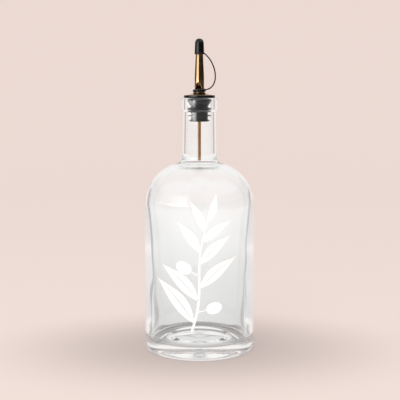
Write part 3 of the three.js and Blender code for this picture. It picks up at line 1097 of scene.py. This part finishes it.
class OILBOTTLE_OT_sprig(bpy.types.Operator):
    """Lays out a printed sprig of leaves and fruit and wraps it on the glass"""

    bl_idname = "oil_bottle.sprig"
    bl_label = "Printed sprig"

    def stem_place(self, share, sizes):
        """The stem's middle line, seen from the front."""
        across = sizes.lean * (share - 0.5) + sizes.bow * math.sin(2 * math.pi * share)
        return Vector((across, sizes.foot + sizes.height * share))

    def stem_turn(self, share, sizes):
        """How far the stem leans left of upright at a point."""
        step = self.stem_place(share + 0.01, sizes) - self.stem_place(share - 0.01, sizes)
        return math.atan2(-step.x, step.y)

    def execute(self, context):
        sizes = context.scene.oil_bottle.sprig
        bottle = bpy.data.objects["clear_bottle"]
        leaf = flat_shape("leaf", 9, 30, leaf_outline, LEAF_BEND, LEAF_RIB)
        fruit = flat_shape("fruit", 8, 22, fruit_outline)
        strip = flat_shape("strip", 2, STEM_ROWS, stem_outline)

        laid_out = []
        stem = laid(strip, (0, 0), 0, (sizes.stem_width, 1))
        bpy.ops.object.mode_set(mode="EDIT")
        for row in range(STEM_ROWS + 1):
            share = row / STEM_ROWS
            place = self.stem_place(share, sizes)
            select_where(stem, lambda spot: abs(spot.y - share) < 0.004 and spot.x < 0.01)
            bpy.ops.transform.translate(value=(place.x, place.y - share, 0))
        bpy.ops.object.mode_set(mode="OBJECT")
        laid_out.append(stem)

        for number, share in enumerate(LEAF_SHARES):
            place = self.stem_place(share, sizes)
            side = side_of(number)
            if number in FRUITS:
                turn = self.stem_turn(share, sizes) - side * math.radians(FRUITS[number])
                ahead = Vector((-math.sin(turn), math.cos(turn))) * STALK_LENGTH * STALK_OVERLAP
                laid_out.append(laid(strip, place, turn, (STALK_WIDTH, STALK_LENGTH)))
                laid_out.append(laid(fruit, place + ahead, turn, (sizes.fruit_width, sizes.fruit_length)))
                continue
            size = 1.02 - 0.5 * share
            turn = self.stem_turn(share, sizes) - side * math.radians(58 - 20 * share)
            width = sizes.leaf_width * size * -side
            laid_out.append(laid(leaf, place, turn, (width, sizes.leaf_length * size)))
        tip = self.stem_place(TIP_SHARE, sizes)
        tip_turn = self.stem_turn(TIP_LEAN_SHARE, sizes)
        tip_size = (sizes.leaf_width * TIP_SIZE, sizes.leaf_length * TIP_SIZE)
        laid_out.append(laid(leaf, tip, tip_turn, tip_size))

        for shape in (leaf, fruit, strip):
            bpy.data.objects.remove(shape)
        bpy.ops.object.select_all(action="DESELECT")
        for shape in laid_out:
            shape.select_set(True)
        bpy.context.view_layer.objects.active = stem
        bpy.ops.object.join()
        sprig = context.object
        sprig.name = "white_sprig"
        sprig.data.name = "white_sprig"
        sprig.rotation_euler = (math.pi / 2, 0, 0)
        sprig.location = (0, -2 * GLASS_RADIUS, 0)
        bpy.ops.object.transform_apply()
        bpy.ops.object.mode_set(mode="EDIT")
        bpy.ops.mesh.select_all(action="SELECT")
        bpy.ops.mesh.normals_make_consistent(inside=False)
        bpy.ops.object.mode_set(mode="OBJECT")
        for face in sprig.data.polygons:
            if face.normal.y > 0:
                face.flip()
        apply_modifier(
            sprig,
            "SHRINKWRAP",
            wrap_method="PROJECT",
            use_project_y=True,
            use_positive_direction=True,
            target=bottle,
            offset=sizes.clearance,
        )
        apply_modifier(sprig, "SOLIDIFY", thickness=sizes.thickness, offset=1)
        bpy.ops.object.shade_smooth_by_angle(angle=SMOOTH_ANGLE)
        finish_piece(sprig, ink_material(sizes))
        return {"FINISHED"}


def shown_to(card, camera=False, diffuse=False, glossy=False, transmission=False, shadow=False):
    """Says which rays meet a stage object."""
    card.visible_camera = camera
    card.visible_diffuse = diffuse
    card.visible_glossy = glossy
    card.visible_transmission = transmission
    card.visible_shadow = shadow
    card.visible_volume_scatter = False


def bearing(degrees):
    """Place on a radial gradient of a bearing, in degrees right of the camera's side."""
    return ((degrees + 90) / 360) % 1


def round_ramp(nodes, stops):
    """A value that changes with the bearing round the bottle."""
    gradient = nodes.add("ShaderNodeTexGradient", {"Vector": nodes.place}, gradient_type="RADIAL")
    ramp = nodes.add("ShaderNodeValToRGB", {"Fac": gradient.outputs["Fac"]})
    ramp.color_ramp.interpolation = "EASE"
    places = sorted((bearing(degrees), value) for degrees, value in stops)
    elements = ramp.color_ramp.elements
    while len(elements) > 1:
        elements.remove(elements[-1])
    first = True
    for place, value in places:
        element = elements[0] if first else elements.new(place)
        element.position = place
        element.color = (value, value, value, 1)
        first = False
    return ramp.outputs["Color"]


def dome(name, radius, floor):
    """Half a ball over the floor, cut from a whole one; floor keeps its flat underside."""
    bpy.ops.object.select_all(action="DESELECT")
    bpy.ops.mesh.primitive_uv_sphere_add(segments=64, ring_count=32, radius=radius)
    tent = bpy.context.object
    tent.name = name
    bpy.ops.object.mode_set(mode="EDIT")
    bpy.ops.mesh.select_all(action="SELECT")
    bpy.ops.mesh.bisect(
        plane_co=(0, 0, -0.2 * MM),
        plane_no=(0, 0, 1),
        clear_inner=True,
        use_fill=floor,
    )
    bpy.ops.object.mode_set(mode="OBJECT")
    return tent


# Brightness by bearing, in degrees right of the camera's side.
MIRRORED_PANEL = (
    *((-179, 0.022), (-112, 0.022), (-90, 0.25), (-70, 0.4), (-55, 0.65), (-42, 1), (-29, 1)),
    *((-23, 0.3), (-14, 0.04), (0, 0.018), (60, 0.009), (112, 0.011), (179, 0.022)),
)
MIRRORED_BACK = ((-179, 1), (-150, 1), (-118, 0), (0, 0), (112, 0), (150, 1), (179, 1))
MIRRORED_MIDDLE = ((-179, 1), (-152, 1), (-140, 0), (0, 0), (140, 0), (152, 1), (179, 1))
CLEAR_CLOTH = (
    *((-179, 1), (-130, 1), (-60, 1), (-36, 0.9), (-14, 0.35), (0, 0.3)),
    *((60, 0.3), (100, 0.7), (125, 0.95), (150, 1), (179, 1)),
)
# Painted contact shadow round the bottle's foot, by bearing, on the floor seen through the glass.
CLEAR_CONTACT_SHADE = ((-179, 0.1), (-75, 0.1), (-40, 0.45), (0, 0.5), (40, 0.45), (75, 0.1), (179, 0.1))
CLEAR_CARDS = (
    *((-179.5, 1), (-176, 0.98), (-170, 0.94), (-150, 0.9), (-142, 0.4), (-134, 0.4), (-127, 1)),
    *((127, 1), (134, 0.45), (142, 0.45), (150, 0.9), (170, 0.94), (176, 0.98), (179.5, 1)),
)

# Heights in metres between which one part of a tent gives way to the next.
PANEL_FOOT = (0.175, 0.19)
BACK_TOP = (0.19, 0.225)
PANEL_FADE = (0.225, 0.25)
MIRRORED_ROOF = (0.56, 0.75)
CLOTH_FOOT = (0.0, 0.1)
BLUSH_FOOT = (0.05, 0.12)
BLUSH_TOP = (0.25, 0.35)
CARDS_TOP = (0.2, 0.3)
CLEAR_ROOF = (0.3, 0.4)

# Distances from the bottle's middle in metres, along the floor, and the floor's colour past each. The
# clear tent's floor and the sweep are painted darker near the bottle, as shade.
CONTACT_SHADE_EDGE = (0.014, 0.036)
CLEAR_FLOOR = (
    ((0.042, 0.062), (0.76, 0.76, 0.757)),
    ((0.06, 0.8), (0.95, 0.94, 0.935)),
    ((0.6, 1.2), (0.93, 0.87, 0.855)),
)
PAINTED_SHADE_EDGE = (0.03, 0.2)
PAINTED_SHADE_OVAL = (1, 1.45, 1)
PAINTED_SHADE_DEPTH = 0.7
SWEEP_GLOW = 0.8
SWEEP_BEND = 0.7
SWEEP_TOP = 1.5
MIRRORED_STRENGTH = 11
CLEAR_STRENGTH = 1.06
BOUNCES = 64


def grey(brightness):
    """A colour without hue."""
    return (brightness, brightness, brightness)


def light_up(tent, nodes, tone, strength):
    """Gives a tent a material that only glows."""
    glow = nodes.add("ShaderNodeEmission", {"Color": tone, "Strength": strength})
    tent.data.materials.append(nodes.finish(glow))
    tent.data.materials[0].cycles.emission_sampling = "NONE"


class OILBOTTLE_OT_stage(bpy.types.Operator):
    """Sets up the sweep, the light tent and the camera"""

    bl_idname = "oil_bottle.stage"
    bl_label = "Studio"

    def sweep(self, sizes):
        """A round floor that curves up into its backdrop, with a painted shade round the bottle."""
        radius = sizes.sweep_radius
        profile = [
            at(0, 0),
            at(0.5, 0),
            *arc(radius - SWEEP_BEND, SWEEP_BEND, SWEEP_BEND, -90, 0, 20),
            at(radius, SWEEP_TOP),
        ]
        sweep = start_profile("sweep", profile[0])
        extrude_through(profile)
        spin_shut(96)
        bpy.ops.mesh.flip_normals()
        bpy.ops.object.mode_set(mode="OBJECT")
        bpy.ops.object.shade_smooth()
        nodes = Nodes("sweep")
        # Painted shade: the floor darkens in an oval round the bottle, standing in for its shadow.
        distance = nodes.distance(nodes.stretched(PAINTED_SHADE_OVAL))
        painted_shade = nodes.spread(distance, *PAINTED_SHADE_EDGE, PAINTED_SHADE_DEPTH, 1.0)
        tone = nodes.mix(painted_shade, grey(0), sizes.sweep_colour)
        diffuse = nodes.add("ShaderNodeBsdfDiffuse", {"Color": tone})
        glow = nodes.add("ShaderNodeEmission", {"Color": tone, "Strength": 1.0})
        sockets = {0: SWEEP_GLOW, 1: diffuse.outputs[0], 2: glow.outputs[0]}
        sweep.data.materials.append(nodes.finish(nodes.add("ShaderNodeMixShader", sockets)))
        sweep.data.materials[0].cycles.emission_sampling = "NONE"
        shown_to(sweep, camera=True, diffuse=True, glossy=True, shadow=True)

    def gloss_tent(self, sizes):
        """What polished surfaces mirror: a soft panel on the left, dim cloth and a paler back."""
        tent = dome("gloss_tent", sizes.tent_radius, False)
        nodes = Nodes("gloss_tent")
        height = nodes.height()
        low_back = nodes.spread(height, *BACK_TOP, 1.0, 0.0)
        low_back = nodes.math("MULTIPLY", round_ramp(nodes, MIRRORED_BACK), low_back)
        back = nodes.math("MAXIMUM", low_back, round_ramp(nodes, MIRRORED_MIDDLE))
        panel = round_ramp(nodes, MIRRORED_PANEL)
        tone = nodes.mix(nodes.spread(height, *PANEL_FOOT, 0.0, 1.0), grey(0.018), panel)
        tone = nodes.mix(nodes.spread(height, *PANEL_FADE, 0.0, 0.71), tone, grey(0))
        tone = nodes.mix(back, tone, (0.073, 0.066, 0.064))
        tone = nodes.mix(nodes.spread(height, *MIRRORED_ROOF, 0.0, 1.0), tone, grey(0.073))
        light_up(tent, nodes, tone, MIRRORED_STRENGTH)
        shown_to(tent, glossy=True)

    def clear_tent(self, sizes):
        """What shows through the glass: pale cloth with two grey cards behind, and a floor with a painted
        contact shadow round the bottle.
        """
        tent = dome("clear_tent", sizes.tent_radius, True)
        nodes = Nodes("clear_tent")
        height = nodes.height()
        distance = nodes.distance(nodes.place)
        # Painted shade: the floor is darker round the bottle's foot, standing in for its contact shadow.
        contact_shade = nodes.spread(distance, *CONTACT_SHADE_EDGE, 0.0, 1.0)
        floor = nodes.mix(contact_shade, grey(0.64), round_ramp(nodes, CLEAR_CONTACT_SHADE))
        for edge, tint in CLEAR_FLOOR:
            floor = nodes.mix(nodes.spread(distance, *edge, 0.0, 1.0), floor, tint)

        rising = nodes.spread(height, *BLUSH_FOOT, 0.0, 1.0)
        falling = nodes.spread(height, *BLUSH_TOP, 1.0, 0.0)
        blush = nodes.mix(nodes.math("MULTIPLY", rising, falling), grey(0.94), (0.95, 0.88, 0.86))
        roof = nodes.spread(height, *CLEAR_ROOF, 0.0, 1.0)
        cloth = nodes.times(nodes.mix(roof, round_ramp(nodes, CLEAR_CLOTH), grey(0.95)), blush)
        tone = nodes.mix(nodes.spread(height, *CLOTH_FOOT, 0.0, 1.0), floor, cloth)
        carded = nodes.times(tone, round_ramp(nodes, CLEAR_CARDS))
        tone = nodes.mix(nodes.spread(height, *CARDS_TOP, 1.0, 0.0), tone, carded)
        light_up(tent, nodes, tone, CLEAR_STRENGTH)
        shown_to(tent, transmission=True)

    def execute(self, context):
        sizes = context.scene.oil_bottle.stage
        scene = context.scene
        self.sweep(sizes)
        self.gloss_tent(sizes)
        self.clear_tent(sizes)

        world = bpy.data.worlds.new("studio")
        scene.world = world
        world.use_nodes = True
        background = world.node_tree.nodes["Background"]
        background.inputs["Color"].default_value = (1, 1, 1, 1)
        background.inputs["Strength"].default_value = 1.0

        panel = bpy.data.lights.new("front_panel", "AREA")
        panel.shape = "SQUARE"
        panel.size = 1.2
        panel.energy = 22
        lamp = bpy.data.objects.new("front_panel", panel)
        lamp.location = (-0.25, -1.3, 1.25)
        lamp.rotation_euler = (lamp.location - Vector((0, 0, 0.1))).to_track_quat("Z", "Y").to_euler()
        lamp.visible_camera = False
        lamp.visible_glossy = False
        lamp.visible_transmission = False
        scene.collection.objects.link(lamp)

        camera = bpy.data.cameras.new("camera")
        camera.lens = sizes.camera_lens
        camera.sensor_width = 36
        camera.clip_start = 0.01
        viewer = bpy.data.objects.new("camera", camera)
        viewer.location = (sizes.camera_side, -sizes.camera_distance, sizes.camera_height)
        viewer.rotation_euler = (math.pi / 2 - sizes.camera_pitch, 0, 0)
        scene.collection.objects.link(viewer)
        scene.camera = viewer
        scene.view_settings.view_transform = "Standard"
        scene.cycles.max_bounces = BOUNCES
        scene.cycles.transmission_bounces = BOUNCES
        scene.cycles.glossy_bounces = BOUNCES
        return {"FINISHED"}


class OILBOTTLE_PT_panel(bpy.types.Panel):
    """Lists the pieces of the bottle and the studio"""

    bl_label = "Oil Bottle"
    bl_idname = "OILBOTTLE_PT_panel"
    bl_space_type = "VIEW_3D"
    bl_region_type = "UI"
    bl_category = "Oil Bottle"

    def draw(self, context):
        for operator in OPERATORS:
            self.layout.operator(operator.bl_idname)


OPERATORS = (
    OILBOTTLE_OT_glass,
    OILBOTTLE_OT_stopper,
    OILBOTTLE_OT_washer,
    OILBOTTLE_OT_spout,
    OILBOTTLE_OT_air_tube,
    OILBOTTLE_OT_dust_cap,
    OILBOTTLE_OT_sprig,
    OILBOTTLE_OT_stage,
)
CLASSES = (
    GlassSizes,
    StopperSizes,
    BrassSizes,
    CapSizes,
    PrintSizes,
    StageSizes,
    OilBottleSettings,
    *OPERATORS,
    OILBOTTLE_PT_panel,
)


def register():
    """Registers the classes and the settings."""
    for cls in CLASSES:
        bpy.utils.register_class(cls)
    bpy.types.Scene.oil_bottle = PointerProperty(type=OilBottleSettings)


def unregister():
    """Takes the settings and the classes away again."""
    del bpy.types.Scene.oil_bottle
    for cls in reversed(CLASSES):
        bpy.utils.unregister_class(cls)


def main():
    """Models every piece and the studio."""
    register()
    bpy.ops.oil_bottle.glass()
    bpy.ops.oil_bottle.stopper()
    bpy.ops.oil_bottle.washer()
    bpy.ops.oil_bottle.spout()
    bpy.ops.oil_bottle.air_tube()
    bpy.ops.oil_bottle.dust_cap()
    bpy.ops.oil_bottle.sprig()
    bpy.ops.oil_bottle.stage()


if __name__ == "__main__":
    main()
